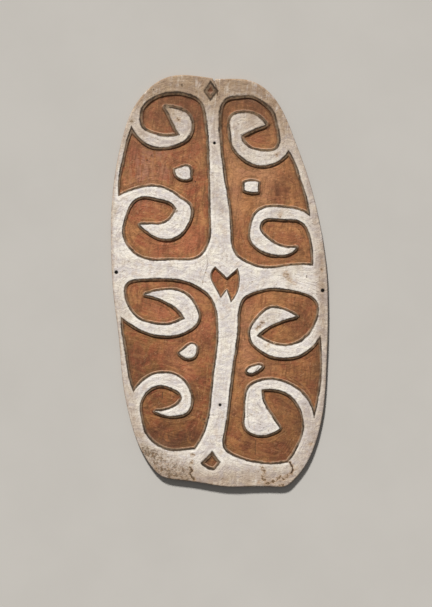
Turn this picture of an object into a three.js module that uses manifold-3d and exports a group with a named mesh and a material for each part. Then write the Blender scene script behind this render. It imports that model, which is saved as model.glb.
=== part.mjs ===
// A carved and painted war shield: one long board of light wood, lying on its flat back.
// Millimetres, +Z up. +Y points to the shield's top end, +X to its right as seen from the front.
// Raised bands stand around four sunken fields. Two hooks curl into each field from the rim,
// and a small raised eye stands free in it. Three sunken motifs sit on the midline.

import * as THREE from 'three';
import { mergeVertices } from 'three/addons/utils/BufferGeometryUtils.js';
import { TessellateModifier } from 'three/addons/modifiers/TessellateModifier.js';
import Module from 'manifold-3d';

// Driving sizes of the board
const HALF_WIDTH = 370;
const HALF_HEIGHT = 701;
const THICKNESS = 22; // on the middle of the board
const EDGE_ROUND = 4; // round of the rim, on the front and the back
const EDGE_STEPS = 2;
const FIELD_DEPTH = 5.5; // how far the fields lie below the bands
const CROWN = 9; // how much thinner the board would get at its far corners
const CROWN_ACROSS = 0.75; // share of the crown that runs from the midline to the sides
const CROWN_ALONG = 0.35; // share of the crown that runs from the middle to the two ends

// Fineness of the faceted curves
const TURN_STEP = THREE.MathUtils.degToRad(8);
const LONGEST_CHORD = 60;
const LONGEST_EDGE = 150; // longest edge on the crowned faces
const SPLIT_ROUNDS = 7;
const HOLE_SIDES = 16;
const CUT_MARGIN = 10; // how far a cutter reaches past the board
const WELD = 1e-3;

// Rim of the board, from the left lip of the nick in its top edge round by the left side to the right lip
const RIM = [
  [-24, 690], [-83, 698], [-134, 701], [-202, 683], [-253, 642], [-292, 590], [-329, 492],
  [-354, 374], [-369, 208], [-369, 106], [-360, -54], [-342, -197], [-328, -353], [-308, -455],
  [-274, -560], [-231, -632], [-197, -664], [-147, -676], [-73, -685], [25, -700], [110, -699],
  [190, -701], [231, -696], [250, -681], [293, -628], [333, -534], [356, -424], [364, -311], [370, -92],
  [363, 57], [339, 208], [302, 354], [256, 481], [207, 593], [160, 651], [100, 683], [39, 688],
  [-14, 687],
];
const NICK_FOOT = [-18, 679];

// Edges of the four sunken fields. Each run is a smooth curve that starts at a sharp corner and
// ends at the next run's first point.
// The ground run goes from the upper hook's notch by the end and the midline to the lower hook's notch.
const FIELDS = {
  upperLeft: {
    ground: [
      [-135, 496], [-175, 489], [-230, 501], [-260, 517], [-272, 548], [-265, 590], [-231, 624],
      [-168, 644], [-95, 634], [-63, 614], [-46, 573], [-38, 507], [-32, 378], [-29, 225], [-32, 140],
      [-49, 100], [-79, 75], [-141, 70], [-219, 68], [-270, 79], [-309, 110], [-329, 150], [-321, 222],
      [-300, 266], [-266, 288], [-216, 283], [-168, 269],
    ],
    lowerSlash: [[-145, 247], [-159, 220], [-190, 195], [-230, 192]],
    lowerHook: [
      [-270, 191], [-245, 169], [-202, 147], [-163, 146], [-122, 172], [-101, 215], [-102, 254],
      [-131, 278], [-168, 304], [-219, 320], [-287, 311],
    ],
    rimSide: [[-345, 287], [-346, 337], [-334, 405], [-317, 478]],
    upperHook: [
      [-299, 528], [-270, 487], [-236, 463], [-190, 456], [-143, 466], [-107, 491], [-95, 529],
      [-106, 563], [-143, 583],
    ],
    upperSlash: [[-183, 590], [-160, 546]],
    eye: [
      [[-151, 379], [-134, 386], [-112, 390], [-101, 384], [-98, 370]],
      [[-98, 349], [-115, 345], [-133, 349], [-145, 358], [-150, 368]],
    ],
  },
  upperRight: {
    ground: [
      [73, 497], [79, 472], [105, 450], [156, 439], [192, 446], [206, 473], [201, 524], [182, 583],
      [151, 611], [116, 630], [62, 631], [22, 620], [0, 585], [-4, 531], [2, 456], [15, 350], [30, 254],
      [38, 147], [50, 94], [82, 67], [145, 44], [196, 45], [247, 52],
    ],
    lowerSlash: [
      [318, 52], [318, 106], [309, 154], [294, 189], [267, 208], [219, 211], [179, 214], [145, 203],
      [138, 176], [156, 150], [189, 125],
    ],
    lowerHook: [
      [261, 113], [237, 95], [203, 89], [162, 97], [122, 120], [107, 143], [110, 191], [124, 228],
      [157, 248], [199, 250], [260, 243],
    ],
    rimSide: [[308, 221], [303, 264], [280, 341], [258, 405]],
    upperHook: [
      [236, 445], [202, 411], [162, 395], [113, 400], [73, 426], [45, 465], [38, 509], [43, 557],
      [73, 570], [114, 566], [143, 546],
    ],
    upperSlash: [[157, 531], [122, 519]],
    eye: [[[84, 335], [104, 339]], [[134, 336], [131, 320]], [[131, 302], [107, 302]], [[84, 308]]],
  },
  lowerLeft: {
    ground: [
      [-118, -128], [-144, -141], [-187, -150], [-236, -144], [-277, -128], [-307, -95], [-325, -39],
      [-316, -5], [-280, 7], [-200, 10], [-123, 3], [-58, -26], [-29, -52], [-6, -115], [-4, -200],
      [-19, -326], [-38, -477], [-61, -539],
    ],
    lowerSlash: [
      [-83, -573], [-115, -576], [-163, -578], [-205, -564], [-249, -525], [-267, -470], [-268, -408],
      [-247, -375], [-199, -354], [-155, -367], [-127, -394], [-140, -419], [-167, -435],
    ],
    lowerHook: [
      [-218, -443], [-184, -455], [-140, -457], [-109, -441], [-97, -411], [-103, -373], [-122, -342],
      [-150, -321], [-192, -314], [-236, -325], [-270, -351],
    ],
    rimSide: [[-293, -380], [-307, -339], [-319, -268], [-335, -166]],
    upperHook: [
      [-337, -119], [-300, -146], [-259, -169], [-188, -185], [-119, -173], [-87, -152], [-72, -126],
      [-84, -84], [-107, -54], [-147, -33], [-191, -32],
    ],
    upperSlash: [[-253, -46], [-208, -58], [-168, -76], [-136, -100]],
    eye: [
      [[-138, -244], [-115, -225], [-91, -214]],
      [[-78, -225], [-79, -241]],
      [[-86, -256], [-107, -262], [-123, -257]],
    ],
  },
  lowerRight: {
    ground: [
      [127, -187], [162, -207], [201, -220], [260, -215], [306, -183], [331, -135], [335, -75],
      [303, -45], [229, -27], [179, -23], [115, -37], [82, -56], [65, -93], [60, -171], [46, -273],
      [30, -404], [15, -512], [17, -573], [50, -597], [109, -616], [186, -624],
    ],
    tongue: [[232, -618], [267, -566], [288, -500], [276, -436], [240, -387], [200, -370]],
    lowerSlash: [[142, -367], [153, -420], [175, -457]],
    lowerHook: [
      [204, -501], [149, -523], [114, -518], [91, -500], [87, -464], [89, -407], [102, -362],
      [132, -344], [174, -337], [211, -342], [271, -375], [298, -404],
    ],
    rimSide: [[322, -467], [333, -421], [347, -333], [348, -234]],
    upperHook: [
      [344, -185], [308, -227], [272, -251], [230, -259], [180, -253], [139, -233], [111, -205],
      [105, -170], [139, -119], [172, -93], [208, -96],
    ],
    upperSlash: [[263, -119], [206, -136], [166, -154]],
    eye: [
      [[93, -308], [98, -299], [109, -292], [121, -288], [134, -286]],
      [[145, -291], [135, -301], [120, -310], [104, -314]],
    ],
  },
};

// Sunken motifs on the midline: a lozenge at each end and a pair of joined leaves between them
const MOTIFS = {
  topLozenge: [[[-31, 681]], [[-55, 646]], [[-31, 612]], [[-4, 646]]],
  bottomLozenge: [[[-25, -577]], [[-65, -619], [-43, -637]], [[-15, -644]], [[6, -616]]],
  leaves: [
    [[-14, 50], [-31, 15], [-18, -18]],
    [[4, -60]],
    [[25, -32]],
    [[38, -73], [56, -51], [69, -5]],
    [[62, 44]],
    [[25, 12]],
  ],
};

// Cord holes through the board
const HOLES = [
  { at: [-351, 30], width: 11 },
  { at: [351, -32], width: 11 },
  { at: [-17, 469], width: 8 },
  { at: [2, -421], width: 8 },
];

const LIME_WHITE = 0xd9cfc2;
const PAINT_ROUGHNESS = 0.85;

const wasm = await Module();
wasm.setup();

// Angles at which a round curve leaves each knot, measured from the chord to the next knot.
// They make the bend of neighbouring stretches meet, and each end stretch is nearly a round arc.
function leavingAngles(lengths, turns) {
  const last = lengths.length;
  const diagonal = [1];
  const right = [-turns[1]];
  const upper = [1];
  for (let k = 1; k < last; k += 1) {
    const before = 1 / lengths[k - 1];
    const after = 1 / lengths[k];
    const factor = before / diagonal[k - 1];
    diagonal.push(2 * (before + after) - factor * upper[k - 1]);
    right.push(-2 * turns[k] * before - turns[k + 1] * after - factor * right[k - 1]);
    upper.push(after);
  }
  const endFactor = 1 / diagonal[last - 1];
  const angles = [];
  angles[last] = -endFactor * right[last - 1] / (1 - endFactor * upper[last - 1]);
  for (let k = last - 1; k >= 0; k -= 1) {
    angles[k] = (right[k] - upper[k] * angles[k + 1]) / diagonal[k];
  }
  return angles;
}

// Length of a handle, as a share of its chord, for a stretch that leaves and arrives at these angles
function handle(leave, arrive) {
  const sway = 1 / 16; // how much the far end's angle holds back the near end's
  const golden = (Math.sqrt(5) - 1) / 2;
  const near = Math.sin(leave) - sway * Math.sin(arrive);
  const far = Math.sin(arrive) - sway * Math.sin(leave);
  const lift = 2 + Math.SQRT2 * near * far * (Math.cos(leave) - Math.cos(arrive));
  return lift / (3 * (1 + golden * Math.cos(leave) + (1 - golden) * Math.cos(arrive)));
}

// Points along the roundest smooth curve through the knots, without the last knot
function smoothRun(knots) {
  const points = knots.map(([x, y]) => new THREE.Vector2(x, y));
  const chords = points.slice(1).map((point, k) => point.clone().sub(points[k]));
  const lengths = chords.map((chord) => chord.length());
  const turns = chords.map((chord, k) => {
    const previous = chords[Math.max(k - 1, 0)];
    return Math.atan2(previous.cross(chord), previous.dot(chord));
  });
  turns.push(0);
  if (chords.length === 1) {
    return [points[0]];
  }
  const leave = leavingAngles(lengths, turns);
  const origin = new THREE.Vector2();
  return chords.flatMap((chord, k) => {
    const arrive = -turns[k + 1] - leave[k + 1];
    const out = chord.clone().rotateAround(origin, leave[k]).multiplyScalar(handle(leave[k], arrive));
    const back = chord.clone().rotateAround(origin, -arrive).multiplyScalar(handle(arrive, leave[k]));
    const stretch = new THREE.CubicBezierCurve(
      points[k],
      points[k].clone().add(out),
      points[k + 1].clone().sub(back),
      points[k + 1],
    );
    const turned = Math.abs(leave[k]) + Math.abs(arrive);
    const steps = Math.max(1, Math.ceil(turned / TURN_STEP), Math.ceil(lengths[k] / LONGEST_CHORD));
    return stretch.getPoints(steps).slice(0, -1);
  });
}

// One closed outline from runs that share their ends
function outline(runs) {
  return runs.flatMap((run, k) => smoothRun([...run, runs[(k + 1) % runs.length][0]]));
}

function solidOf(geometry) {
  geometry.deleteAttribute('normal');
  geometry.deleteAttribute('uv');
  const welded = mergeVertices(geometry, WELD);
  return new wasm.Manifold(new wasm.Mesh({
    numProp: 3,
    vertProperties: Float32Array.from(welded.attributes.position.array),
    triVerts: Uint32Array.from(welded.index.array),
  }));
}

function geometryOf(solid) {
  const mesh = solid.getMesh();
  const geometry = new THREE.BufferGeometry();
  geometry.setAttribute('position', new THREE.BufferAttribute(mesh.vertProperties, 3));
  geometry.setIndex(new THREE.BufferAttribute(mesh.triVerts, 1));
  return geometry;
}

// An upright prism that reaches from the floor of the fields to well above the board
function prism(runs) {
  const geometry = new THREE.ExtrudeGeometry(new THREE.Shape(outline(runs)), {
    depth: FIELD_DEPTH + CUT_MARGIN,
    bevelEnabled: false,
  });
  return solidOf(geometry.translate(0, 0, THICKNESS - FIELD_DEPTH));
}

function board() {
  const shape = new THREE.Shape(outline([RIM.slice(0, -1), RIM.slice(-1), [NICK_FOOT]]));
  const geometry = new THREE.ExtrudeGeometry(shape, {
    depth: THICKNESS - 2 * EDGE_ROUND,
    bevelThickness: EDGE_ROUND,
    bevelSize: EDGE_ROUND,
    bevelOffset: -EDGE_ROUND,
    bevelSegments: EDGE_STEPS,
  });
  return solidOf(geometry.translate(0, 0, EDGE_ROUND));
}

function fieldCutter({ eye, ...runs }) {
  return prism(Object.values(runs)).subtract(prism(eye));
}

function holeCutter({ at, width }) {
  const length = THICKNESS + 2 * CUT_MARGIN;
  const geometry = new THREE.CylinderGeometry(width / 2, width / 2, length, HOLE_SIDES);
  geometry.rotateX(Math.PI / 2);
  return solidOf(geometry.translate(at[0], at[1], THICKNESS / 2));
}

// Thins the board gently towards its sides and ends, while its back stays flat, and puts the origin
// under the middle of its box
function crowned(geometry) {
  const split = new TessellateModifier(LONGEST_EDGE, SPLIT_ROUNDS).modify(geometry.toNonIndexed());
  const position = split.attributes.position;
  for (let k = 0; k < position.count; k += 1) {
    const across = position.getX(k) / HALF_WIDTH;
    const along = position.getY(k) / HALF_HEIGHT;
    const drop = CROWN * (CROWN_ACROSS * across ** 2 + CROWN_ALONG * along ** 2);
    position.setZ(k, position.getZ(k) * (1 - drop / THICKNESS));
  }
  const welded = mergeVertices(split, WELD);
  welded.computeBoundingBox();
  const middle = welded.boundingBox.getCenter(new THREE.Vector3());
  return welded.translate(-middle.x, -middle.y, 0);
}

const cutters = [
  ...Object.values(FIELDS).map(fieldCutter),
  ...Object.values(MOTIFS).map(prism),
  ...HOLES.map(holeCutter),
];
const carved = cutters.reduce((solid, cutter) => solid.subtract(cutter), board());

const shieldBoard = new THREE.Mesh(
  crowned(geometryOf(carved)),
  new THREE.MeshStandardMaterial({
    color: LIME_WHITE,
    roughness: PAINT_ROUGHNESS,
    metalness: 0,
    flatShading: true,
  }),
);
shieldBoard.name = 'shield_board';

const shield = new THREE.Group();
shield.add(shieldBoard);

export default shield;
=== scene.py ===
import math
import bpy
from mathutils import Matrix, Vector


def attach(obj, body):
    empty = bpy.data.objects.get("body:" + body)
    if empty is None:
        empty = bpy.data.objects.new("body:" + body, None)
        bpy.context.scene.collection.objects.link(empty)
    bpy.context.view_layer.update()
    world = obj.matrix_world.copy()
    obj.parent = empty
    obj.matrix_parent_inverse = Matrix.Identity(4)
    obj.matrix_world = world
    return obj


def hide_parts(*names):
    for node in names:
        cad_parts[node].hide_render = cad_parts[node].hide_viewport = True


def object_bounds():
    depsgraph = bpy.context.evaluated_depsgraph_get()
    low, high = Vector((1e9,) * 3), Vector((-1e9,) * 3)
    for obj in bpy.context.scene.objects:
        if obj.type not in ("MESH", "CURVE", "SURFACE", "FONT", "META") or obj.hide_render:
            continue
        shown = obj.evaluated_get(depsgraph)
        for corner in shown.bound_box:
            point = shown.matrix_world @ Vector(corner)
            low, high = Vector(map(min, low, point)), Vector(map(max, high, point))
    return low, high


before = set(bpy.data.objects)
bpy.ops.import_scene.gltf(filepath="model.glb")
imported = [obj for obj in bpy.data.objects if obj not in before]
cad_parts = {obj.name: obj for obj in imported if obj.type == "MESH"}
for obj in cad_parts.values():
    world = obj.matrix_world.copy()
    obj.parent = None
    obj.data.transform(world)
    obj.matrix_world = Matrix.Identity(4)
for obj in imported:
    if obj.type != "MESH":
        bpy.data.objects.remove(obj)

# A carved and painted war shield, lying on its flat back with the carved front up.
# The rim, the edges of the sunken fields and the cord holes are read from the frame's solid. They get
# sloped and worn walls, tool marks, cracks and paint here. Metres, +Y to the shield's top end.

from types import SimpleNamespace

import bpy
import numpy as np
from mathutils import Vector, geometry, kdtree, noise

cad_low, cad_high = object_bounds()

MM = 0.001
NODE = "shield_board"
SEED = 7

# Sizes of the board, as in the solid
HALF_WIDTH = cad_high.x
HALF_HEIGHT = cad_high.y
THICKNESS = 22 * MM
CROWN = 9 * MM
CROWN_ACROSS = 0.75
CROWN_ALONG = 0.35
FIELD_DEPTH = 6 * MM

# Reading of the solid
WELD = 0.01 * MM
STEEP = 0.1  # most upward part of the normal on a wall
CORNER = math.radians(20)  # a sharper turn is a corner
HOLE_GIRTH = 60 * MM  # a shorter loop is a cord hole
SMALL_GIRTH = 1000 * MM  # a shorter carved loop is an eye or a motif
LOZENGE_BEYOND = 550 * MM  # a motif farther up or down than this is a lozenge

# Carved profile, counted from a field's edge inwards
EDGE_WEAR = 5 * MM  # how far out on the band the worn edge begins to fall
SHOULDER = 9.5 * MM  # width of the painted shoulder, which falls gently
SHOULDER_DROP = 1.5 * MM
STEP_START = 8.4 * MM  # where the steep step to the floor begins
STEP_WIDTH = 3.6 * MM
TIGHTNESS = 1.1  # how tight the profile is below the upper fields
SLACK = 0.2  # how much less tight it is in the upper fields
RIM_ROUND = 4.2 * MM
BACK_ROUND = 4 * MM
MOUTH_DEPTH = 0.5 * MM  # wear round a cord hole
MOUTH_REACH = 3 * MM
BORE_DARK = 2.5 * MM  # how far a cord hole's painted shade spreads on the front

# Each kind of carved edge: how tight its profile is, how far the profile creeps onto the raised side, and
# how deep the sunken side is as a share of a field's depth
EDGE_KINDS = {
    "field": (1, 0, 0.9),
    "eye": (1.05, 1.4 * MM, 0.9),
    "leaf": (1.5, 0, 0.9),
    "lozenge": (0.8, 0, 0.62),
}

# Unevenness that the hand left: its strength, its size across and along the board, and its layer of noise
EDGE_WAVERS = [(0.9 * MM, 38 * MM, 38 * MM, layer) for layer in (3.3, 11.7)]
PROFILE_DRIFT = (0.2, 55 * MM, 55 * MM, 9.5)
DEPTH_DRIFT = (0.18, 90 * MM, 140 * MM, 1.5)
RIM_DRIFT = (0.35, 55 * MM, 55 * MM, 2.5)
ADZE_MARKS = (0.35 * MM, 26 * MM, 75 * MM, 4.5)
FIELD_GROOVES = (0.45 * MM, 8 * MM, 70 * MM, 5.5)
FIELD_GOUGES = (0.4 * MM, 30 * MM, 45 * MM, 6.5)
CRACK_JAG = (1.2 * MM, 5 * MM, 5 * MM, 21.1)
BACK_MARKS = (1, 28 * MM, 60 * MM, 8.5)
BACK_MARK_DEPTH = 0.55 * MM
BACK_MARK_INSET = 12 * MM  # how far in from the rim the back's marks reach their full depth

# Stretches in millimetres across or along the board, over which the carving or the paint changes
UPPER_FIELDS = (300, 550)
TOP_END = (330, 560)
BOTTOM_END = (-590, -680)
LOWER_HALF = (20, -40)
DOWNWARD = (20, -230)
FOOT = (-250, -550)
RIGHT_HALF = (-30, 30)
LEFT_HALF = (30, -30)
RED_HALF = (20, -20)
SIDE_WEAR = 80 * MM  # how far in from the rim the sides have gone tan

# Fineness of the mesh
CURVE_STEP = 3.4 * MM
RIM_STEP = 4 * MM
HOLE_STEP = RIM_STEP / 3
CRACK_STEP = 2 * MM
SAMPLE_STEP = 0.6 * MM
FIELD_RINGS = [step * MM for step in (1.5, 4, 6.4, 8, 9.2, 10.3, 11.4, 12.6, 14.6)]
BAND_RINGS = [step * MM for step in (-1.5, -4, -8)]
RIM_RINGS = [step * MM for step in (0.7, 1.8, 3.4, 5.6, 8.5)]
BACK_RINGS = [step * MM for step in (0.7, 1.8, 4)]
HOLE_RINGS = [step * MM for step in (1.2, 3)]
CRACK_REACH = 2  # how far a crack's slopes and rows of points reach, in half widths
MARK_RINGS = ((0.6, 6), (1.2, 9))  # points round a small mark: a share of its reach, and how many
FRONT_SPACING = 6.5 * MM
BACK_SPACING = 11 * MM
SIDE_RINGS = 2
NEAR = 0.86  # share of its offset that a ring's point must keep from every edge
ROW_GAP = 1 * MM  # least gap between rows of points
LOOSE_GAP = 3 * MM  # least gap between loose points and rows
BACK_GAP = 4 * MM
STRAY = 0.22  # how far a loose point strays, as a share of the spacing
ROW_HEIGHT = math.sqrt(0.75)  # height of an even triangle, as a share of its side
PLAN_TOLERANCE = 1e-7
WHOLE_HULL = 0  # kind of fill that covers the hull of the points
SHARP = math.radians(60)  # an edge that turns more than this stays sharp
NO_EDGE = -50.0  # place on the carved profile, in millimetres, of points off the front

# Camera: the picture is 432 by 607 pixels, and one pixel is this long on the board's face
PIXEL = 3.4 * MM
PICTURE_HEIGHT = 607
LENS = 85
SENSOR = 36
AIM = Vector((-11.9 * MM, -76.2 * MM, 18 * MM))

# Paint surface
CRUST_STRENGTH = 0.5
CRUST_HEIGHT = 5 * MM
SHEEN = 0.25

# Studio
KEY_STRENGTH = 5.2
KEY_SOFTNESS = math.radians(7)
KEY_COLOUR = (1.0, 0.99, 0.97)
KEY_WAY = Vector((0.3, -1.0, -0.64))  # the way that the key light shines
SKY_STRENGTH = 0.18
SKY_COLOUR = (1.0, 0.99, 0.98, 1)
FLOOR_HALF = 6
FLOOR_DROP = 0.3 * MM  # the floor is this far under the board's back
FLOOR_ROUGHNESS = 0.9


def ease(value):
    """Rises smoothly from 0 to 1 as the value does."""
    value = np.clip(value, 0, 1)
    return value * value * (3 - 2 * value)


def rise(value, stretch):
    """Rises smoothly from 0 to 1 over a stretch of the board."""
    start, end = stretch
    return ease((value - start * MM) / ((end - start) * MM))


def solid_mesh():
    """Gives the solid's places, with split corners welded, and its triangles."""
    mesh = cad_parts[NODE].data
    mesh.calc_loop_triangles()
    co = np.empty(len(mesh.vertices) * 3)
    mesh.vertices.foreach_get("co", co)
    corners = np.empty(len(mesh.loop_triangles) * 3, int)
    mesh.loop_triangles.foreach_get("vertices", corners)
    grid = np.round(co.reshape(-1, 3) / WELD).astype(int)
    places, ids = np.unique(grid, axis=0, return_inverse=True)
    return places * WELD, ids.reshape(-1)[corners].reshape(-1, 3)


def closed_loops(following, places):
    """Gives the closed loops of a start-to-end table of edges, as plan points."""
    loops = []
    while following:
        start = min(following)
        loop = [start]
        while following[loop[-1]] != start:
            loop.append(following.pop(loop[-1]))
        following.pop(loop[-1])
        loops.append(places[loop, :2])
    return loops


def edge_loops():
    """Reads the upper edges of the solid's walls, each loop with the higher ground on its left."""
    places, triangles = solid_mesh()
    a, b, c = (places[triangles[:, k]] for k in range(3))
    normal = np.cross(b - a, c - a)
    up = normal[:, 2] / np.linalg.norm(normal, axis=1)
    height = (a + b + c)[:, 2] / 3
    owner = {}
    for face, triangle in enumerate(triangles):
        for k in range(3):
            owner[triangle[k], triangle[(k + 1) % 3]] = face
    following = {}
    for (start, end), face in owner.items():
        wall = owner[end, start]
        edge_height = (places[start, 2] + places[end, 2]) / 2
        if up[face] > STEEP and abs(up[wall]) < STEEP and height[wall] < edge_height:
            following[start] = end
    return closed_loops(following, places)


def girth(loop):
    """Gives the length of a closed loop."""
    return np.linalg.norm(np.roll(loop, -1, 0) - loop, axis=1).sum()


def smooth(loop, step):
    """Runs a smooth curve through a closed loop's points, sharp only at its corners, in even steps."""
    chord = np.roll(loop, -1, 0) - loop
    length = np.linalg.norm(chord, axis=1)
    way = chord / length[:, None]
    way_before = np.roll(way, 1, 0)
    share = (length / (length + np.roll(length, 1)))[:, None]
    tangent = way_before * share + way * (1 - share)
    corner = (np.sum(way * way_before, axis=1) < math.cos(CORNER))[:, None]
    leave = np.where(corner, way, tangent)
    arrive = np.roll(np.where(corner, way_before, tangent), -1, 0)
    goal = np.roll(loop, -1, 0)
    parts = []
    for k in range(len(loop)):
        count = max(1, round(length[k] / step))
        t = (np.arange(count) / count)[:, None]
        done = ease(t)
        out = t * (1 - t) ** 2 * leave[k] * length[k]
        back = t * t * (1 - t) * arrive[k] * length[k]
        parts.append(loop[k] * (1 - done) + goal[k] * done + out - back)
    return np.vstack(parts)


def uneven(points, kind):
    """Gives one kind of unevenness at the points, from about minus to plus its strength."""
    strength, across, along, layer = kind
    return strength * np.array([noise.noise((x / across, y / along, layer)) for x, y in points[:, :2]])


def hand_cut(loop):
    """Lets an edge waver as a hand-held tool does."""
    return loop + np.stack([uneven(loop, kind) for kind in EDGE_WAVERS], axis=1)


def inside(points, loops):
    """Says which points an odd number of the loops go round."""
    odd = np.zeros(len(points), bool)
    x, y = points[:, 0], points[:, 1]
    for loop in loops:
        near = np.flatnonzero((y >= loop[:, 1].min()) & (y <= loop[:, 1].max()))
        px, py = x[near], y[near]
        for (ax, ay), (bx, by) in zip(loop, np.roll(loop, -1, 0)):
            if ay != by:
                odd[near] ^= ((ay > py) != (by > py)) & (px < ax + (py - ay) * (bx - ax) / (by - ay))
    return odd


class Edges:
    """Measures how far points are from a set of loops, and which loop is the nearest."""

    def __init__(self, loops):
        samples = [smooth(loop, SAMPLE_STEP) for loop in loops]
        self.owner = np.repeat(np.arange(len(loops)), [len(part) for part in samples])
        self.tree = kdtree.KDTree(len(self.owner))
        for k, (x, y) in enumerate(np.vstack(samples)):
            self.tree.insert((x, y, 0), k)
        self.tree.balance()

    def away(self, points):
        """Gives each point's distance to the nearest edge."""
        return np.array([self.tree.find((x, y, 0))[2] for x, y in points[:, :2]])

    def toward(self, points):
        """Gives the way from each point to the nearest edge, one unit long."""
        way = np.array([self.tree.find((x, y, 0))[0][:2] for x, y in points[:, :2]]) - points[:, :2]
        return way / np.maximum(np.linalg.norm(way, axis=1), WELD)[:, None]

    def nearest(self, points):
        """Gives the number of the loop that is nearest to each point."""
        return self.owner[[self.tree.find((x, y, 0))[1] for x, y in points[:, :2]]]


def ring(loop, offset):
    """Moves a loop's points to its right by an offset."""
    along = np.roll(loop, -1, 0) - np.roll(loop, 1, 0)
    along /= np.linalg.norm(along, axis=1)[:, None]
    return loop + offset * np.stack([along[:, 1], -along[:, 0]], axis=1)


carved_solid = sorted(edge_loops(), key=np.ptp)
rim_solid = carved_solid.pop()
holes_solid = [loop for loop in carved_solid if girth(loop) < HOLE_GIRTH]
fields_solid = [loop for loop in carved_solid if girth(loop) >= HOLE_GIRTH]

rim = smooth(rim_solid, RIM_STEP)
holes = [smooth(loop, HOLE_STEP) for loop in holes_solid]
fields = [hand_cut(smooth(loop, CURVE_STEP)) for loop in fields_solid]
rim_edges = Edges([rim])
field_edges = Edges(fields)
hole_edges = Edges(holes)

# Cracks and scratches in the front in millimetres: a line, its half width and its depth
CRACKS = [
    ([(-43, 86), (-39, 52), (-48, 29), (-57, 0), (-58, -13)], 1.2, 0.45),
    ([(-19, 683), (-14, 667), (-8, 650), (-7, 632)], 1.5, 1.2),
    ([(-99, -634), (-92, -647), (-101, -652), (-95, -666), (-87, -675)], 1.6, 1.1),
    ([(239, -617), (247, -632), (249, -642), (245, -652)], 1.7, 1.5),
    ([(103, -375), (97, -405), (96, -434), (97, -470), (102, -499)], 1.0, 0.45),
    ([(127, -410), (131, -420), (138, -429), (147, -436)], 1.2, 0.4),
    ([(122, -540), (122, -591)], 1.0, 0.8),
    ([(-194, -380), (-194, -397)], 1.4, 0.9),
    ([(-186, 582), (-184, 595), (-178, 602), (-172, 595)], 1.0, 0.5),
    ([(134, -291), (128, -299), (123, -306)], 1.6, 0.8),
]


def crack_lines():
    """Gives each crack as closely spaced points in metres, with its half width and depth."""
    lines = []
    for knots, half, depth in CRACKS:
        knots = np.array(knots) * MM
        pieces = []
        for start, end in zip(knots[:-1], knots[1:]):
            count = max(2, round(np.linalg.norm(end - start) / CRACK_STEP))
            pieces.append(start + (end - start) * (np.arange(count) / count)[:, None])
        line = np.vstack([*pieces, knots[-1:]])
        line[:, 0] += uneven(line, CRACK_JAG)
        lines.append((line, half * MM, depth * MM))
    return lines


cracks = crack_lines()


def crack_depth(points):
    """Gives how deep the cracks are at the points."""
    deep = np.zeros(len(points))
    for line, half, depth in cracks:
        reach = CRACK_REACH * half
        low, high = line.min(0) - reach, line.max(0) + reach
        for k in np.flatnonzero(((points > low) & (points < high)).all(1)):
            gap = np.linalg.norm(line - points[k], axis=1).min()
            deep[k] = max(deep[k], depth * (1 - gap / reach))
    return deep


# Spots on the paint in millimetres: a place, a reach and a strength
RUST_SPOTS = [
    (164, -684, 8, 0.7), (133, -684, 10, 0.7), (262, -638, 12, 0.6), (148, -655, 16, 0.45),
    (185, -688, 18, 0.45), (222, -676, 14, 0.45), (-91, -591, 10, 0.9), (-94, -614, 10, 0.9),
    (-172, -639, 8, 0.9), (-153, -663, 8, 0.9), (-127, -670, 8, 0.9), (-110, -676, 8, 0.8),
    (-140, -655, 8, 0.7), (-215, -638, 9, 0.8), (-196, -648, 8, 0.7), (226, 24, 14, 0.95),
    (234, 10, 10, 0.9), (246, 0, 10, 0.8), (256, -9, 9, 0.7), (-141, 548, 14, 0.85),
    (-115, 505, 8, 0.6), (196, 430, 13, 0.85), (206, 223, 12, 0.85), (146, -140, 11, 1.0),
    (136, -152, 11, 1.0), (128, -162, 9, 1.0), (187, -210, 7, 0.8), (167, -217, 8, 0.8),
    (320, -221, 7, 0.8), (-43, 86, 6, 0.5), (-40, 60, 6, 0.5), (-48, 29, 7, 0.55),
    (-57, 0, 6, 0.5), (13, -83, 4, 0.8), (348, 41, 11, 1.0), (-322, -6, 7, 0.6),
    (346, 74, 7, 0.5), (-298, 545, 9, 0.6), (311, -554, 10, 0.6), (298, -580, 8, 0.5),
]
GRIME_SPOTS = [
    (-254, -574, 20, 0.9), (-238, -585, 22, 1.0), (-224, -590, 20, 1.0), (-218, -618, 24, 0.8),
    (-196, -640, 24, 0.85), (-168, -656, 24, 0.85), (-138, -666, 22, 0.8), (-112, -674, 16, 0.7),
    (-176, -622, 20, 0.5), (-142, -640, 16, 0.6), (-262, -556, 18, 0.5), (350, -14, 16, 0.35),
    (-205, -606, 40, 0.65), (-165, -634, 44, 0.7), (-125, -652, 38, 0.65), (-185, -600, 30, 0.5),
    (-178, 590, 6, 1.0), (-145, 237, 5, 0.9), (-224, 652, 10, 0.6), (-128, 668, 12, 0.6),
    (-298, 545, 10, 0.8), (60, 655, 30, 0.3), (118, 640, 24, 0.3),
]
FLECKS = [
    (-52, -470, 5, 0.8), (-50, -482, 5, 0.8), (-56, -491, 4, 0.6), (-246, 412, 3, 1.0),
    (-230, 429, 3, 0.9), (-82, 338, 3.5, 1.0), (296, 13, 3.5, 0.7), (296, 18, 3.5, 0.7),
    (331, -44, 2.5, 0.8), (335, -36, 2.5, 0.7), (290, -150, 2.5, 0.7), (-176, 396, 2.5, 0.6),
    (-128, 668, 5, 0.7), (-224, 652, 4, 0.7), (-212, 262, 2.5, 0.5), (-120, 214, 2.5, 0.5),
    (138, -487, 3, 0.6), (136, -494, 3, 0.5), (149, -499, 3.5, 0.6), (161, -496, 4, 0.5),
]

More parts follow.
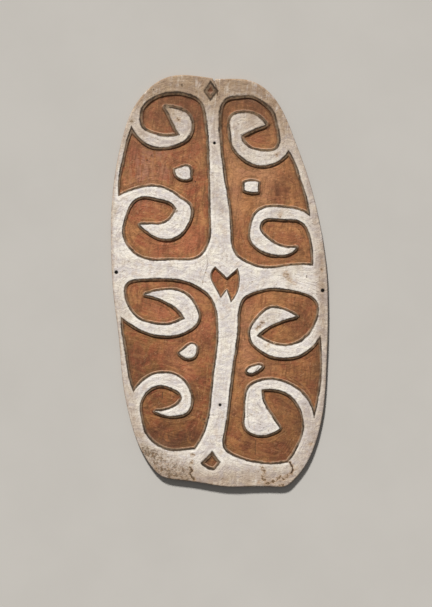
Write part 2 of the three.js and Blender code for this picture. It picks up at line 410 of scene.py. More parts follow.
# Trails of chipped paint in millimetres
CHIP_TRAILS = [
    [(143, -632), (148, -641), (153, -650), (152, -658), (146, -666), (149, -672), (155, -676)],
    [(158, -687), (166, -688), (174, -685), (183, -681), (192, -677), (199, -671), (206, -667)],
    [(213, -671), (219, -672), (225, -667), (231, -662)],
    [(207, -694), (216, -693)],
    [(240, -618), (246, -629), (249, -640), (247, -650), (241, -659)],
    [(-101, -632), (-94, -645), (-101, -654), (-95, -666), (-86, -675)],
]
TRAIL_REACH = 8.5
TRAIL_STRENGTH = 1.0

# Brushed, rubbed and soiled patches, and patches of painted light and shade, in millimetres: a stroke, its
# reach and its strength
TAN_STROKES = [
    ([(348, 175), (344, 130)], 16, 0.55),
    ([(346, 90), (348, 40), (350, -12), (350, -105), (352, -150), (345, -195)], 20, 0.83),
    ([(345, -195), (339, -245)], 20, 0.65),
    ([(330, 108), (338, 18)], 18, 0.55),
    ([(226, 26), (250, -5)], 17, 0.45),
    ([(205, 58), (262, 55)], 26, 0.55),
    ([(175, -122)], 26, 0.45),
    ([(210, 238)], 36, 0.35),
    ([(-15, 355), (-20, 300), (15, 240)], 28, 0.37),
    ([(300, -436), (296, -495)], 28, 0.5),
    ([(322, -470)], 16, 0.5),
    ([(311, -554)], 18, 0.8),
    ([(265, -600)], 30, 0.5),
    ([(-45, -618)], 26, 0.6),
    ([(-312, -330), (-300, -400)], 30, 0.5),
    ([(-296, -440), (-288, -478), (-272, -522)], 28, 0.68),
    ([(-200, -430)], 14, 0.9),
    ([(-356, 237)], 12, 0.6),
    ([(-330, 160)], 10, 0.6),
    ([(-352, 140)], 14, 0.35),
    ([(-330, 60)], 16, 0.35),
]
# Strokes where the top end's painted shade is lifted
LIFTED_SHADE_STROKES = [
    ([(60, 568), (75, 515), (130, 480)], 42, 0.52),
    ([(-125, 552), (-130, 500), (-185, 487), (-226, 483)], 37, 0.57),
    ([(-42, 550), (-42, 480)], 40, 0.5),
    ([(-287, 544)], 44, 0.5),
    ([(141, 544)], 36, 0.4),
]
PINK_STROKES = [
    ([(-222, 442), (-255, 405), (-262, 340), (-250, 300)], 46, 0.9),
    ([(-190, 372)], 36, 0.7),
]
# Lighter patches in the middle of the fields: painted light, partly rubbed paint
GLOW_STROKES = [
    ([(40, 445), (42, 240)], 38, 0.66),
    ([(85, 376), (152, 361)], 46, 0.8),
    ([(150, 330), (150, 250)], 32, 0.6),
    ([(-212, 130), (-90, 134)], 40, 0.82),
    ([(-212, 252)], 30, 0.5),
    ([(-150, 75)], 30, 0.5),
    ([(-95, -54), (-80, -58)], 40, 0.85),
    ([(-208, -109), (-152, -118)], 36, 0.8),
    ([(-92, -184), (-27, -140)], 38, 0.7),
    ([(-152, -236), (-118, -302)], 44, 0.82),
    ([(-35, -240)], 36, 0.5),
    ([(84, -110), (85, -240), (96, -304)], 40, 0.85),
    ([(96, -304), (158, -300)], 35, 0.52),
    ([(32, -420)], 30, 0.5),
]
# Darker patches: painted shade at the top of the upper fields, on the outer sides and at the foot of the
# lower fields, and smears
DARK_STROKES = [
    ([(-145, 617), (-85, 568)], 46, 0.52),
    ([(-30, 648)], 34, 0.4),
    ([(28, 570)], 26, 0.6),
    ([(95, 615), (155, 560)], 42, 0.5),
    ([(196, 334), (198, 297)], 11, 0.85),
    ([(214, 353), (217, 330)], 12, 0.65),
    ([(231, 354), (228, 304)], 15, 0.5),
    ([(262, 342), (272, 290)], 32, 0.22),
    ([(277, 95)], 40, 0.4),
    ([(277, -112), (280, -185)], 42, 0.55),
    ([(338, -298), (335, -362)], 40, 0.55),
    ([(216, -418), (220, -485), (216, -542)], 39, 0.6),
    ([(216, -542), (252, -562)], 40, 0.4),
    ([(277, -485)], 44, 0.9),
    ([(125, -592), (205, -580)], 50, 0.4),
    ([(-286, -236), (-274, -304)], 40, 0.65),
    ([(-212, -420)], 36, 0.4),
    ([(-90, -420)], 36, 0.4),
    ([(-205, -530), (-150, -550), (-95, -530)], 43, 0.95),
    ([(-150, -520)], 60, 0.5),
]
STROKE_STEP = 0.47  # how far apart the spots of a stroke are, as a share of their reach
SMALL_MARK = 10  # a mark of a smaller reach gets mesh points of its own


def stroke_spots(strokes):
    """Gives strokes as rows of close spots."""
    spots = []
    for line, reach, strength in strokes:
        for (ax, ay), (bx, by) in zip(line[:-1], line[1:]):
            count = max(1, round(math.hypot(bx - ax, by - ay) / (STROKE_STEP * reach)))
            for share in np.arange(count) / count:
                spots.append((ax + (bx - ax) * share, ay + (by - ay) * share, reach, strength))
        spots.append((*line[-1], reach, strength))
    return spots


def rust_marks():
    """Gives the rust spots and the trails of chips."""
    return RUST_SPOTS + stroke_spots([(trail, TRAIL_REACH, TRAIL_STRENGTH) for trail in CHIP_TRAILS])


def mark_points():
    """Gives points on and round each small mark, so that the mesh is fine enough to show it."""
    places = []
    for x, y, reach, _ in [*rust_marks(), *FLECKS]:
        if reach < SMALL_MARK:
            places.append((x, y))
            for share, count in MARK_RINGS:
                radius = share * reach
                for turn in np.arange(count) * math.tau / count:
                    places.append((x + radius * math.cos(turn), y + radius * math.sin(turn)))
    return np.array(places) * MM


def scatter(low, high, spacing, rng):
    """Gives loosely even points over a box."""
    rows = np.arange(low[1], high[1], spacing * ROW_HEIGHT)
    points = []
    for number, y in enumerate(rows):
        x = np.arange(low[0] + spacing / 2 * (number % 2), high[0], spacing)
        points.append(np.stack([x, np.full(len(x), y)], axis=1))
    points = np.vstack(points)
    return points + rng.uniform(-STRAY, STRAY, points.shape) * spacing


def signed_away(points):
    """Gives the distance to the nearest carved edge, positive in a sunken field."""
    away = field_edges.away(points)
    return np.where(inside(points, fields), away, -away)


def edge_kind(loop):
    """Says what a carved loop goes round."""
    low, high = loop[:, 1].min(), loop[:, 1].max()
    if girth(loop) > SMALL_GIRTH:
        return "field"
    if max(low, -high) > LOZENGE_BEYOND:
        return "lozenge"
    return "leaf" if low < 0 < high else "eye"


def edge_facts(points):
    """Gives the nearest carved edge's tightness, creep and depth at each point."""
    facts = np.array([EDGE_KINDS[edge_kind(loop)] for loop in fields])
    return facts[field_edges.nearest(points)].T


def profile_place(points):
    """Gives the place on the carved profile, which the hand makes wider here and narrower there."""
    tight, creep, _ = edge_facts(points)
    tight = tight * (TIGHTNESS - SLACK * rise(points[:, 1], UPPER_FIELDS))
    return (signed_away(points) + creep) * tight * (1 + uneven(points, PROFILE_DRIFT))


def front_points(rng):
    """Gives the front's free points: rows along the edges and cracks, and loose points between them."""
    rows = []
    for loop in fields:
        for offset in FIELD_RINGS + BAND_RINGS:
            points = ring(loop, offset)
            rows.append(points[field_edges.away(points) > NEAR * abs(offset)])
    for line, half, _ in cracks:
        for row in range(-CRACK_REACH, CRACK_REACH + 1):
            points = line + [row * half, 0]
            rows.append(points[field_edges.away(points) > ROW_GAP])
    spots = mark_points()
    rows.append(spots[field_edges.away(spots) > ROW_GAP])
    carved = np.vstack(rows)
    carved = carved[rim_edges.away(carved) > RIM_RINGS[-1] + ROW_GAP]
    carved = carved[hole_edges.away(carved) > HOLE_RINGS[-1] + ROW_GAP]
    carved = carved[inside(carved, [rim])]
    edge = np.vstack([ring(rim, -offset) for offset in RIM_RINGS])
    edge = edge[field_edges.away(edge) > ROW_GAP]
    mouths = np.vstack([ring(loop, -offset) for loop in holes for offset in HOLE_RINGS])
    loose = scatter(cad_low, cad_high, FRONT_SPACING, rng)
    from_field = signed_away(loose)
    clear = (from_field < BAND_RINGS[-1] - LOOSE_GAP) | (from_field > FIELD_RINGS[-1] + LOOSE_GAP)
    clear &= rim_edges.away(loose) > RIM_RINGS[-1] + LOOSE_GAP
    clear &= hole_edges.away(loose) > HOLE_RINGS[-1] + LOOSE_GAP
    loose = loose[clear & inside(loose, [rim])]
    return np.vstack([edge, mouths, carved, loose])


def back_points(rng):
    """Gives the back's free points: rows along the rim, and loose points between them."""
    edge = np.vstack([ring(rim, -offset) for offset in BACK_RINGS])
    loose = scatter(cad_low, cad_high, BACK_SPACING, rng)
    clear = rim_edges.away(loose) > BACK_RINGS[-1] + BACK_GAP
    clear &= hole_edges.away(loose) > LOOSE_GAP
    return np.vstack([edge, loose[clear & inside(loose, [rim])]])


def sheet(loops, inner_loops, free):
    """Fills the board's plan. Gives the points, the triangles and each loop's point numbers."""
    chains = [*loops, *inner_loops]
    points = np.vstack([*chains, free])
    edges, start = [], 0
    for chain in chains:
        numbers = np.arange(len(chain)) + start
        edges += zip(numbers.tolist(), np.roll(numbers, -1).tolist())
        start += len(chain)
    flat = [Vector(point) for point in points]
    filled = geometry.delaunay_2d_cdt(flat, edges, [], WHOLE_HULL, PLAN_TOLERANCE)
    found, _, corners, origins, _, _ = filled
    places = np.array([tuple(place) for place in found])
    triangles = np.array(corners)
    triangles = triangles[inside(places[triangles].mean(axis=1), loops)]
    number_of = {old: new for new, olds in enumerate(origins) for old in olds}
    chain_numbers, start = [], 0
    for chain in loops:
        chain_numbers.append([number_of[start + k] for k in range(len(chain))])
        start += len(chain)
    return places, triangles, chain_numbers


def thinning(points):
    """Gives the share of the middle's thickness that the crowned board has at the points."""
    across = points[:, 0] / HALF_WIDTH
    along = points[:, 1] / HALF_HEIGHT
    return 1 - CROWN / THICKNESS * (CROWN_ACROSS * across**2 + CROWN_ALONG * along**2)


def rounding(inset, radius):
    """Gives how far a rounded edge has fallen at a distance in from the edge."""
    short = np.clip(radius - inset, 0, radius)
    return radius - np.sqrt(radius**2 - short**2)


def front_height(points, from_field, inset):
    """Gives the carved front's height: crown, fields, worn rim, tool marks and cracks."""
    share = edge_facts(points)[2]
    depth = FIELD_DEPTH * share * (1 + uneven(points, DEPTH_DRIFT))
    in_field = ease((from_field - STEP_START) / STEP_WIDTH)
    shoulder = SHOULDER_DROP * ease((from_field + EDGE_WEAR) / (SHOULDER + EDGE_WEAR))
    step = (depth - SHOULDER_DROP) * in_field
    gouged = uneven(points, FIELD_GROOVES) + uneven(points, FIELD_GOUGES)
    carved = shoulder + step + gouged * in_field + uneven(points, ADZE_MARKS) * (1 - in_field)
    radius = RIM_ROUND * (1 + uneven(points, RIM_DRIFT))
    mouth = MOUTH_DEPTH * ease(1 - hole_edges.away(points) / MOUTH_REACH)
    height = (THICKNESS - carved) * thinning(points)
    return height - rounding(inset, radius) - mouth - crack_depth(points)


def back_height(points, inset):
    """Gives the back's height: flat, with shallow tool marks and a rounded edge."""
    mark = BACK_MARK_DEPTH * (1 + uneven(points, BACK_MARKS)) * ease(inset / BACK_MARK_INSET)
    return mark + rounding(inset, BACK_ROUND)


def strip(upper, lower):
    """Gives quads between two loops of point numbers."""
    quads = []
    for k in range(len(upper)):
        after = (k + 1) % len(upper)
        quads.append((upper[k], lower[k], lower[after], upper[after]))
    return quads


def marks(points, spots):
    """Gives how strongly soft spots mark the points, from 0 to 1."""
    strength = np.zeros(len(points))
    for x, y, reach, most in spots:
        gap = np.hypot(points[:, 0] / MM - x, points[:, 1] / MM - y)
        strength = np.maximum(strength, most * np.exp(-((gap / reach) ** 2)))
    return strength


def brown_tone(points):
    """Says where the brown is a darker one: below the middle, more so at the foot, where the extra dark is
    painted shade, and on the left.
    """
    base, at_foot, on_left = 0.58, 0.22, 0.3
    foot = rise(points[:, 1], FOOT)
    left = rise(points[:, 0], LEFT_HALF)
    return rise(points[:, 1], DOWNWARD) * (base + at_foot * foot + on_left * left)


def patina_and_top_shade(points):
    """Says where the white is tan: most at the top end, where the tan is painted shade, less at the other
    edges, and in strokes.
    """
    at_bottom, on_right, on_lower_left = 0.75, 0.6, 0.4
    top = rise(points[:, 1], TOP_END) * (1 - marks(points, stroke_spots(LIFTED_SHADE_STROKES)))
    bottom = at_bottom * rise(points[:, 1], BOTTOM_END)
    right = rise(points[:, 0], RIGHT_HALF)
    lower_left = (1 - right) * rise(points[:, 1], LOWER_HALF)
    near_rim = ease(1 - rim_edges.away(points) / SIDE_WEAR)
    side = near_rim * (on_right * right + on_lower_left * lower_left)
    return np.maximum.reduce([top, bottom, side, marks(points, stroke_spots(TAN_STROKES))])


def red_tone(points):
    """Says where the brown is redder: on the left, and most at the upper left."""
    base, on_lower_right, on_left, less_below = 0.2, 0.3, 0.8, 0.1
    lower = rise(points[:, 1], LOWER_HALF)
    left = rise(points[:, 0], RED_HALF)
    return base + on_lower_right * lower * (1 - left) + left * (on_left - less_below * lower)


def paint_facts(front, from_field, inset):
    """Gives what the paint needs to know at the front's points."""
    toward = field_edges.toward(front)
    return {
        "edge": from_field / MM,
        "rim": inset / MM,
        # How far the nearest carved wall faces the picture's top, where the key light comes from
        "ledge": np.clip(-toward[:, 1], 0, 1),
        "upright": np.abs(toward[:, 0]),
        "patina_and_top_shade": patina_and_top_shade(front),
        "red": red_tone(front),
        "tone": brown_tone(front),
        "rust": marks(front, rust_marks()),
        "grime": marks(front, GRIME_SPOTS),
        "fleck": marks(front, FLECKS),
        "shadow": marks(front, stroke_spots(DARK_STROKES)),
        "haze": marks(front, stroke_spots(PINK_STROKES)),
        "glow": marks(front, stroke_spots(GLOW_STROKES)),
        "crack": np.clip(crack_depth(front) / MM, 0, 1),
    }


def keep_fact(mesh, name, values):
    """Keeps a number for each of the mesh's points under a name."""
    attribute = mesh.attributes.new(name, "FLOAT", "POINT")
    attribute.data.foreach_set("value", values.astype(np.float32))


def make_board():
    """Builds the carved board as one closed mesh, with what the paint needs to know on its points."""
    rng = np.random.default_rng(SEED)
    loops = [rim, *holes]
    front, front_faces, front_chains = sheet(loops, fields, front_points(rng))
    back, back_faces, back_chains = sheet(loops, [], back_points(rng))
    front_inset = rim_edges.away(front)
    back_inset = rim_edges.away(back)
    front_inset[front_chains[0]] = 0
    back_inset[back_chains[0]] = 0
    from_field = profile_place(front)
    top = front_height(front, from_field, front_inset)
    under = back_height(back, back_inset)

    places = [np.column_stack([front, top]), np.column_stack([back, under])]
    faces = [tuple(face) for face in front_faces.tolist()]
    faces += [tuple(len(front) + k for k in face[::-1]) for face in back_faces.tolist()]
    bare = [np.zeros(len(front)), np.ones(len(back))]
    bore = [ease(1 - hole_edges.away(front) / BORE_DARK), np.zeros(len(back))]
    total = len(front) + len(back)
    for chain, (upper, lower) in enumerate(zip(front_chains, back_chains)):
        levels = [upper]
        for level in range(1, SIDE_RINGS + 1):
            share = level / (SIDE_RINGS + 1)
            height = top[upper] * (1 - share) + under[lower] * share
            places.append(np.column_stack([front[upper], height]))
            levels.append(list(range(total, total + len(upper))))
            bare.append(np.ones(len(upper)))
            bore.append(np.full(len(upper), float(chain > 0)))
            total += len(upper)
        levels.append([len(front) + k for k in lower])
        for above, below in zip(levels[:-1], levels[1:]):
            faces += strip(above, below)

    mesh = bpy.data.meshes.new("carved_shield")
    mesh.from_pydata(np.vstack(places).tolist(), [], faces)
    mesh.validate()
    mesh.shade_smooth()
    mesh.set_sharp_from_angle(angle=SHARP)
    keep_fact(mesh, "bare", np.concatenate(bare))
    keep_fact(mesh, "bore", np.concatenate(bore))
    for name, values in paint_facts(front, from_field, front_inset).items():
        elsewhere = np.full(total - len(front), NO_EDGE if name == "edge" else 0.0)
        keep_fact(mesh, name, np.append(values, elsewhere))
    board = bpy.data.objects.new("carved_shield", mesh)
    bpy.context.scene.collection.objects.link(board)
    return board


def linear(red, green, blue):
    """Turns a colour in 8-bit steps, as a picture shows it, into the light it stands for."""
    parts = [value / 255 for value in (red, green, blue)]
    return (*(p / 12.92 if p < 0.04045 else ((p + 0.055) / 1.055) ** 2.4 for p in parts), 1)


def palette(**colours):
    """Gives named colours, each set in 8-bit steps."""
    return SimpleNamespace(**{name: linear(*steps) for name, steps in colours.items()})


WHITES = palette(
    cream=(236, 228, 217),
    cool=(213, 205, 202),
    warm=(240, 231, 213),
    sand=(208, 188, 167),
    dun=(200, 186, 174),
    grey=(182, 168, 157),
    speck=(146, 124, 103),
    clean=(246, 239, 228),
    tan=(178, 154, 129),
)
BROWNS = palette(
    light_clay=(154, 96, 66),
    light_ochre=(182, 126, 82),
    dark_clay=(100, 58, 37),
    dark_ochre=(142, 96, 55),
    shade=(112, 71, 43),
    golden=(184, 126, 79),
    red=(158, 84, 58),
    pink=(172, 124, 104),
    rubbed_ochre=(194, 150, 114),
    rubbed_red=(188, 116, 82),
    dark_stroke=(100, 62, 37),
    gold_stroke=(190, 138, 88),
    dark_brush=(98, 60, 38),
    gold_brush=(186, 132, 84),
    dark_grain=(94, 59, 38),
    pale_grain=(204, 156, 118),
    dirt=(116, 86, 54),
    worn=(188, 157, 134),
    corner=(78, 50, 32),
    aged=(112, 80, 60),
    smear=(84, 54, 37),
)
CHARCOALS = palette(
    dense=(58, 45, 34),
    olive=(70, 55, 40),
    pale_olive=(114, 95, 72),
    rubbed=(140, 121, 101),
)
STAINS = palette(
    rust=(186, 158, 130),
    chip=(98, 74, 47),
    dust=(158, 136, 112),
    ochre=(144, 106, 70),
    pale=(220, 208, 192),
    dark=(94, 74, 54),
    fleck=(72, 50, 36),
    crack=(74, 54, 38),
)
WOODS = palette(dark=(96, 70, 50), pale=(134, 102, 74), bore=(38, 28, 20))
FLOORS = palette(dark=(189, 185, 179), pale=(192, 188, 182))


class Nodes:
    """Short calls for one material's nodes. A value is a number, a colour or another node's output."""

    def __init__(self, material):
        material.use_nodes = True
        self.tree = material.node_tree
        self.tree.nodes.clear()
        self.place = self.add("ShaderNodeTexCoord").outputs["Object"]

    def add(self, kind, **settings):
        node = self.tree.nodes.new(kind)
        for name, value in settings.items():
            setattr(node, name, value)
        return node

    def put(self, socket, value):
        if isinstance(value, bpy.types.NodeSocket):
            self.tree.links.new(value, socket)
        else:
            socket.default_value = value

    def fact(self, name):
        """Gives a number that the mesh keeps at its points."""
        return self.add("ShaderNodeAttribute", attribute_name=name).outputs["Fac"]

    def calc(self, operation, *values):
        node = self.add("ShaderNodeMath", operation=operation)
        for socket, value in zip(node.inputs, values):
            self.put(socket, value)
        return node.outputs[0]

    def part(self, share, value):
        return self.calc("MULTIPLY", value, share)

    def both(self, first, second):
        """Gives where two masks meet."""
        return self.calc("MULTIPLY", first, second)

    def rest(self, mask):
        """Gives where a mask isn't."""
        return self.calc("SUBTRACT", 1.0, mask)

    def swing(self, span, noise_value):
        """Turns noise from 0 to 1 into noise about zero, over a span."""
        return self.part(span, self.calc("SUBTRACT", noise_value, 0.5))

    def fade(self, value, start, end):
        """Rises smoothly from 0 to 1 between two values, or falls where the first is the larger."""
        node = self.add("ShaderNodeMapRange", interpolation_type="SMOOTHSTEP")
        self.put(node.inputs["Value"], value)
        low, high = sorted((start, end))
        node.inputs["From Min"].default_value = low
        node.inputs["From Max"].default_value = high
        node.inputs["To Min"].default_value = float(start > end)
        node.inputs["To Max"].default_value = float(start < end)
        return node.outputs["Result"]

    def grain(self, vector, detail, rough, swirl):
        node = self.add("ShaderNodeTexNoise")
        self.put(node.inputs["Vector"], vector)
        node.inputs["Scale"].default_value = 1.0
        node.inputs["Detail"].default_value = detail
        node.inputs["Roughness"].default_value = rough
        node.inputs["Distortion"].default_value = swirl
        return node.outputs["Fac"]

    def scaled(self, across, along, upward, shift, turn=0.0):
        """Gives the place on the board, turned, counted in the given sizes and shifted."""
        vector = self.place
        if turn:
            turned = self.add("ShaderNodeVectorRotate", rotation_type="Z_AXIS")
            self.put(turned.inputs["Vector"], vector)
            turned.inputs["Angle"].default_value = turn
            vector = turned.outputs["Vector"]
        mapping = self.add("ShaderNodeMapping")
        self.put(mapping.inputs["Vector"], vector)
        mapping.inputs["Scale"].default_value = (1 / (across * MM), 1 / (along * MM), upward)
        mapping.inputs["Location"].default_value = (shift, shift, shift)
        return mapping.outputs["Vector"]

    def cloud(self, across, along, detail=4.0, rough=0.55, shift=0.0, swirl=0.0, turn=0.0):
        """Gives noise from 0 to 1 with bumps of a size in millimetres. Another shift gives other bumps."""
        return self.grain(self.scaled(across, along, 1 / (across * MM), shift, turn), detail, rough, swirl)

    def strokes(self, edge, width, length, detail=4.0, rough=0.6, shift=0.0, swirl=0.3):
        """Gives noise from 0 to 1 in streaks that follow the carved edges, as brush strokes do."""
        across = self.add("ShaderNodeCombineXYZ")
        self.put(across.inputs["Z"], self.calc("DIVIDE", edge, width))
        joined = self.add("ShaderNodeVectorMath", operation="ADD")
        self.put(joined.inputs[0], self.scaled(length, length, 0, shift))
        self.put(joined.inputs[1], across.outputs["Vector"])
        return self.grain(joined.outputs["Vector"], detail, rough, swirl)

    def blend(self, share, first, second, kind="MIX"):
        node = self.add("ShaderNodeMix", data_type="RGBA", blend_type=kind)
        factor, under, over = 0, 6, 7  # sockets of the node for colours
        self.put(node.inputs[factor], share)
        self.put(node.inputs[under], first)
        self.put(node.inputs[over], second)
        return node.outputs[2]

    def coat(self, paint, strength, mask, colour):
        """Lays a colour on the paint where the mask is, up to a strength."""
        return self.blend(self.part(strength, mask), paint, colour)

    def surface(self, colour, roughness):
        """Ends the nodes in one surface."""
        shader = self.add("ShaderNodeBsdfPrincipled")
        self.put(shader.inputs["Base Color"], colour)
        self.put(shader.inputs["Roughness"], roughness)
        output = self.add("ShaderNodeOutputMaterial")
        self.put(output.inputs["Surface"], shader.outputs["BSDF"])
        return shader


def white_paint(n, edge):
    """Gives the lime white: brushed cream and cool greys, with grain and specks, gone tan with age."""
    white = n.blend(n.fade(n.cloud(46, 24, 3, swirl=1), 0.4, 0.6), WHITES.cream, WHITES.cool)
    white = n.coat(white, 0.6, n.fade(n.cloud(34, 40, 4, shift=5), 0.5, 0.66), WHITES.warm)
    white = n.coat(white, 0.5, n.fade(n.cloud(28, 34, 4, shift=7), 0.55, 0.68), WHITES.sand)
    white = n.coat(white, 0.45, n.fade(n.cloud(7, 34, 5, 0.6), 0.48, 0.66), WHITES.dun)
    white = n.coat(white, 0.55, n.fade(n.strokes(edge, 5, 50, 5, 0.65), 0.5, 0.66), WHITES.dun)
    white = n.coat(white, 0.5, n.fade(n.cloud(13, 9, 5, 0.68, 2, 1), 0.5, 0.64), WHITES.grey)
    white = n.coat(white, 0.7, n.fade(n.cloud(8, 9, 4, 0.6, 8), 0.61, 0.72), WHITES.speck)
    # Painted highlight: brighter white along the bands' carved edges
    clean = n.both(n.fade(edge, -12, -5), n.fade(n.cloud(30, 30, 4, 0.6, 13), 0.36, 0.58))
    white = n.coat(white, 0.55, clean, WHITES.clean)

    broad = n.part(0.4, n.cloud(40, 60, 5, 0.65, 12))
    streaks = n.part(0.4, n.cloud(9, 70, 5, 0.65, 18, 0.4, 0.1))
    brushed = n.part(0.2, n.strokes(edge, 6, 60, 5, 0.65, 6))
    drift = n.calc("ADD", n.calc("ADD", broad, streaks), brushed)
    # Painted shade: the white at the top end is dulled to tan; it is tan near the rim and in strokes too
    aged = n.calc("MAXIMUM", n.fact("patina_and_top_shade"), n.part(0.6, n.fade(n.fact("rim"), 15, 2)))
    tan = n.both(aged, n.fade(drift, 0.28, 0.52))
    return n.blend(n.part(0.92, tan), white, WHITES.tan, "MULTIPLY")


def brown_ground(n):
    """Gives the red-brown earth of the fields: darker below, golden on the right and red on the left."""
    mottle = n.fade(n.cloud(80, 80, swirl=1), 0.42, 0.58)
    light = n.blend(mottle, BROWNS.light_clay, BROWNS.light_ochre)
    dark = n.blend(mottle, BROWNS.dark_clay, BROWNS.dark_ochre)
    brown = n.blend(n.fact("tone"), light, dark)
    brown = n.coat(brown, 0.5, n.fade(n.cloud(30, 36, 4, 0.6, 1, 1), 0.44, 0.6), BROWNS.shade)
    golden = n.both(n.rest(n.fact("red")), n.fade(n.cloud(55, 55, 4, 0.6, 15, 1), 0.4, 0.6))
    brown = n.coat(brown, 0.5, golden, BROWNS.golden)
    red = n.both(n.fact("red"), n.fade(n.cloud(42, 42, 5, 0.62, 9, 1), 0.44, 0.6))
    brown = n.coat(brown, 0.58, red, BROWNS.red)
    haze = n.both(n.fact("haze"), n.fade(n.cloud(14, 70, 5, 0.65, 3, 0.6), 0.36, 0.56))
    brown = n.coat(brown, 0.7, haze, BROWNS.pink)
    # Painted light, with rubbed paint: the brown is lighter where the glow strokes lie
    rubbed = n.blend(n.fact("red"), BROWNS.rubbed_ochre, BROWNS.rubbed_red)
    return n.coat(brown, 0.6, n.fact("glow"), rubbed)


def brushwork(n, edge, brown):
    """Brushes dark and golden strokes over the brown, along the edges and freely, with a fine grain."""
    flow = n.calc("ADD", edge, n.swing(40.0, n.cloud(75, 75, 2, 0.5, 14)))
    beside = n.fade(edge, 62, 22)
    dark_stroke = n.both(beside, n.fade(n.strokes(flow, 9, 90, 5, 0.62), 0.5, 0.62))
    gold_stroke = n.both(beside, n.fade(n.strokes(flow, 8, 70, 5, 0.62, 4), 0.52, 0.63))
    brown = n.coat(brown, 0.5, dark_stroke, BROWNS.dark_stroke)
    brown = n.coat(brown, 0.4, gold_stroke, BROWNS.gold_stroke)
    lean = n.calc("SUBTRACT", n.cloud(130, 130, 2, 0.5, 17), n.part(0.14, n.fact("tone")))
    upright = n.fade(lean, 0.39, 0.49)
    dark_brush = n.both(upright, n.fade(n.cloud(9, 75, 4, 0.6, 0, 0.5, 0.12), 0.5, 0.62))
    gold_brush = n.both(n.rest(upright), n.fade(n.cloud(75, 10, 4, 0.6, 2, 0.5, 0.3), 0.5, 0.62))
    brown = n.coat(brown, 0.42, dark_brush, BROWNS.dark_brush)
    brown = n.coat(brown, 0.38, gold_brush, BROWNS.gold_brush)
    brown = n.coat(brown, 0.45, n.fade(n.cloud(10, 8, 4, 0.62, 6, 1), 0.52, 0.68), BROWNS.dark_grain)
    return n.coat(brown, 0.4, n.fade(n.cloud(8, 10, 4, 0.62, 4, 1), 0.56, 0.7), BROWNS.pale_grain)


def field_wear(n, edge, brown):
    """Adds darker olive near the edges, pale wear with painted highlight on the steps that face the key
    light, charcoal with painted shade at the foot of the other steps, dulling that is painted shade at the
    top end and tan elsewhere, and smears with painted shade.
    """
    # Darker olive brown near the carved edges
    dirt = n.both(n.fade(edge, 34, 12), n.fade(n.cloud(20, 20, 3, shift=3), 0.4, 0.6))
    brown = n.coat(brown, 0.5, dirt, BROWNS.dirt)
    # Painted highlight with wear: a pale line on the steps that face the key light
    ledge = n.fade(n.fact("ledge"), 0.15, 0.7)
    step = n.both(n.fade(edge, 8.2, 9.4), n.fade(edge, 13, 10.5))
    worn = n.both(n.both(step, ledge), n.fade(n.cloud(22, 22), 0.3, 0.6))
    brown = n.coat(brown, 0.7, worn, BROWNS.worn)
    # Charcoal with painted shade: a dark line at the foot of the steps that don't face the key light
    corner = n.both(n.fade(edge, 9, 10.5), n.fade(edge, 15, 12))
    shaded = n.both(n.rest(ledge), n.fade(n.cloud(30, 30, 4, 0.6, 19), 0.34, 0.56))
    brown = n.coat(brown, 0.6, n.both(corner, shaded), BROWNS.corner)
    # Painted shade: the brown is dulled at the top end, and under the tan stains
    brown = n.coat(brown, 0.35, n.fact("patina_and_top_shade"), BROWNS.aged)
    # Painted shade with smears: darker brown where the dark strokes lie
    smear = n.both(n.fact("shadow"), n.fade(n.cloud(12, 34, 5, 0.68, 8, 0.6), 0.3, 0.52))
    return n.coat(brown, 0.8, smear, BROWNS.smear)


def outline(n, edge, paint):
    """Lays the charcoal outline on: dense along the carved edge, rubbed thin on the shoulder below it."""
    low_ledge = n.both(n.fact("ledge"), n.fact("tone"))
    dense_end = n.calc("SUBTRACT", edge, n.part(2.4, low_ledge))
    dense = n.both(n.fade(edge, -2.2, 0.6), n.fade(dense_end, 5.2, 2.6))
    thin_end = n.calc("SUBTRACT", edge, n.part(0.6, n.fact("ledge")))
    thin = n.both(n.fade(edge, 0, 2.4), n.fade(thin_end, 10.2, 8.2))
    patchy = n.calc("ADD", 0.68, n.part(0.3, n.fade(n.cloud(14, 16, 4, 0.6, 4), 0.62, 0.4)))
    thinned = n.blend(n.fade(n.cloud(12, 14), 0.38, 0.66), CHARCOALS.olive, CHARCOALS.pale_olive)
    rubbed = n.both(n.fade(n.fact("upright"), 0.5, 0.95), n.fade(n.cloud(18, 40, 4, 0.6, 11), 0.36, 0.6))
    thinned = n.coat(thinned, 0.75, rubbed, CHARCOALS.rubbed)
    paint = n.blend(n.both(thin, patchy), paint, thinned)
    heavy = n.calc("ADD", 0.35, n.part(0.6, n.fade(n.cloud(45, 45, 3, 0.5, 6), 0.4, 0.58)))
    heavy = n.calc("MAXIMUM", heavy, n.part(0.95, low_ledge))
    return n.blend(n.both(dense, heavy), paint, CHARCOALS.dense)


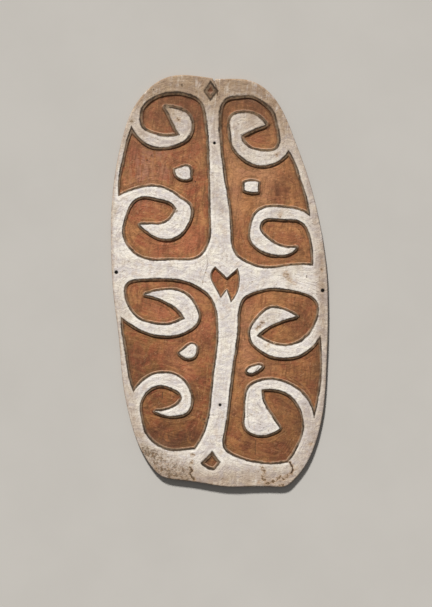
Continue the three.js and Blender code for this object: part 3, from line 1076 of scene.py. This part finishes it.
def stains(n, paint):
    """Adds the rust-brown chips, the grime, the dark flecks and the cracks. Gives the chips' mask, too."""
    ragged = n.swing(2.8, n.cloud(10, 8, 5, 0.68))
    rust = n.both(n.fact("rust"), n.calc("ADD", 0.72, ragged))
    chip = n.fade(rust, 0.5, 0.8)
    paint = n.coat(paint, 0.75, n.fade(rust, 0.2, 0.6), STAINS.rust)
    paint = n.coat(paint, 0.85, chip, STAINS.chip)
    grime = n.fact("grime")
    dust = n.both(grime, n.fade(n.cloud(16, 14, 5, 0.7, 5), 0.26, 0.52))
    paint = n.coat(paint, 0.9, dust, STAINS.dust)
    ochre = n.both(grime, n.fade(n.cloud(8, 8, 5, 0.7, 3), 0.5, 0.59))
    paint = n.coat(paint, 0.75, ochre, STAINS.ochre)
    pale = n.both(grime, n.fade(n.cloud(8, 7, 4, 0.6, 9), 0.54, 0.62))
    paint = n.coat(paint, 0.4, pale, STAINS.pale)
    caked = n.calc("ADD", n.cloud(8, 7, 5, 0.7), n.part(0.2, grime))
    dark = n.both(n.fade(grime, 0.1, 0.6), n.fade(caked, 0.61, 0.7))
    paint = n.coat(paint, 0.7, dark, STAINS.dark)
    paint = n.coat(paint, 0.9, n.fade(n.fact("fleck"), 0.25, 0.7), STAINS.fleck)
    return n.blend(n.fact("crack"), paint, STAINS.crack), chip


def crust(n, edge, chip):
    """Gives the bumps of the paint: lumps, grain and brush strokes, with the chips sunken."""
    lumps = n.cloud(24, 18, 5, 0.62, 1, 1.2)
    height = n.calc("ADD", lumps, n.part(0.3, n.cloud(6, 44, 4)))
    height = n.calc("ADD", height, n.part(0.65, n.strokes(edge, 8, 80, 4, 0.6, 4)))
    height = n.calc("SUBTRACT", height, n.part(0.3, chip))
    bump = n.add("ShaderNodeBump")
    bump.inputs["Strength"].default_value = CRUST_STRENGTH
    bump.inputs["Distance"].default_value = CRUST_HEIGHT
    n.put(bump.inputs["Height"], height)
    return bump.outputs["Normal"]


def painted_wood():
    """Lime white bands, red-brown fields and charcoal outlines on the front, bare wood elsewhere."""
    material = bpy.data.materials.new("painted_wood")
    n = Nodes(material)
    carved_edge = n.fact("edge")
    fray = n.calc("ADD", n.swing(3.6, n.cloud(18, 18)), n.swing(4.0, n.cloud(7, 7, 3)))
    edge = n.calc("ADD", carved_edge, fray)
    brown = field_wear(n, edge, brushwork(n, edge, brown_ground(n)))
    paint = n.blend(n.fade(edge, 0.5, 2.5), white_paint(n, carved_edge), brown)
    paint, chip = stains(n, outline(n, edge, paint))

    wood = n.blend(n.fade(n.cloud(5, 120, 6), 0.35, 0.7), WOODS.dark, WOODS.pale)
    inset = n.calc("ADD", n.fact("rim"), n.swing(11.0, n.cloud(16, 20)))
    bare = n.calc("MAXIMUM", n.fact("bare"), n.part(0.45, n.fade(inset, 2.6, 0.3)))
    colour = n.blend(bare, paint, wood)
    # Painted shade: the cord holes' walls and mouths are nearly black
    colour = n.blend(n.fact("bore"), colour, WOODS.bore)

    shader = n.surface(colour, n.calc("ADD", 0.74, n.part(0.22, n.cloud(6, 20, 3))))
    n.put(shader.inputs["Normal"], crust(n, carved_edge, chip))
    shader.inputs["Specular IOR Level"].default_value = SHEEN
    return material


def floor_finish():
    """A plain pale matt floor, almost even."""
    material = bpy.data.materials.new("studio_floor")
    n = Nodes(material)
    n.surface(n.blend(n.fade(n.cloud(300, 300), 0.3, 0.7), FLOORS.dark, FLOORS.pale), FLOOR_ROUGHNESS)
    return material


def make_floor():
    """Lays the floor just under the board."""
    corners = [(x * FLOOR_HALF, y * FLOOR_HALF, 0) for x, y in ((-1, -1), (1, -1), (1, 1), (-1, 1))]
    mesh = bpy.data.meshes.new("studio_floor")
    mesh.from_pydata(corners, [], [(0, 1, 2, 3)])
    mesh.materials.append(floor_finish())
    floor = bpy.data.objects.new("studio_floor", mesh)
    floor.location.z = -FLOOR_DROP
    bpy.context.scene.collection.objects.link(floor)


def make_lights():
    """Sets one broad soft key light from the picture's top, a little left, in an even pale studio."""
    key = bpy.data.lights.new("key", "SUN")
    key.energy = KEY_STRENGTH
    key.angle = KEY_SOFTNESS
    key.color = KEY_COLOUR
    lamp = bpy.data.objects.new("key", key)
    lamp.rotation_euler = KEY_WAY.to_track_quat("-Z", "Y").to_euler()
    bpy.context.scene.collection.objects.link(lamp)
    world = bpy.data.worlds.new("studio")
    bpy.context.scene.world = world
    world.use_nodes = True
    background = world.node_tree.nodes["Background"]
    background.inputs["Color"].default_value = SKY_COLOUR
    background.inputs["Strength"].default_value = SKY_STRENGTH


def make_camera():
    """Looks straight down on the shield, with its top end up in the picture."""
    camera = bpy.data.cameras.new("camera")
    camera.lens = LENS
    camera.sensor_width = SENSOR
    viewer = bpy.data.objects.new("camera", camera)
    viewer.location = AIM + Vector((0, 0, PICTURE_HEIGHT * PIXEL * LENS / SENSOR))
    bpy.context.scene.collection.objects.link(viewer)
    bpy.context.scene.camera = viewer


board = make_board()
board.data.materials.append(painted_wood())
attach(board, "root")
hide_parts(NODE)
make_floor()
make_lights()
make_camera()
bpy.context.scene.view_settings.view_transform = "Standard"
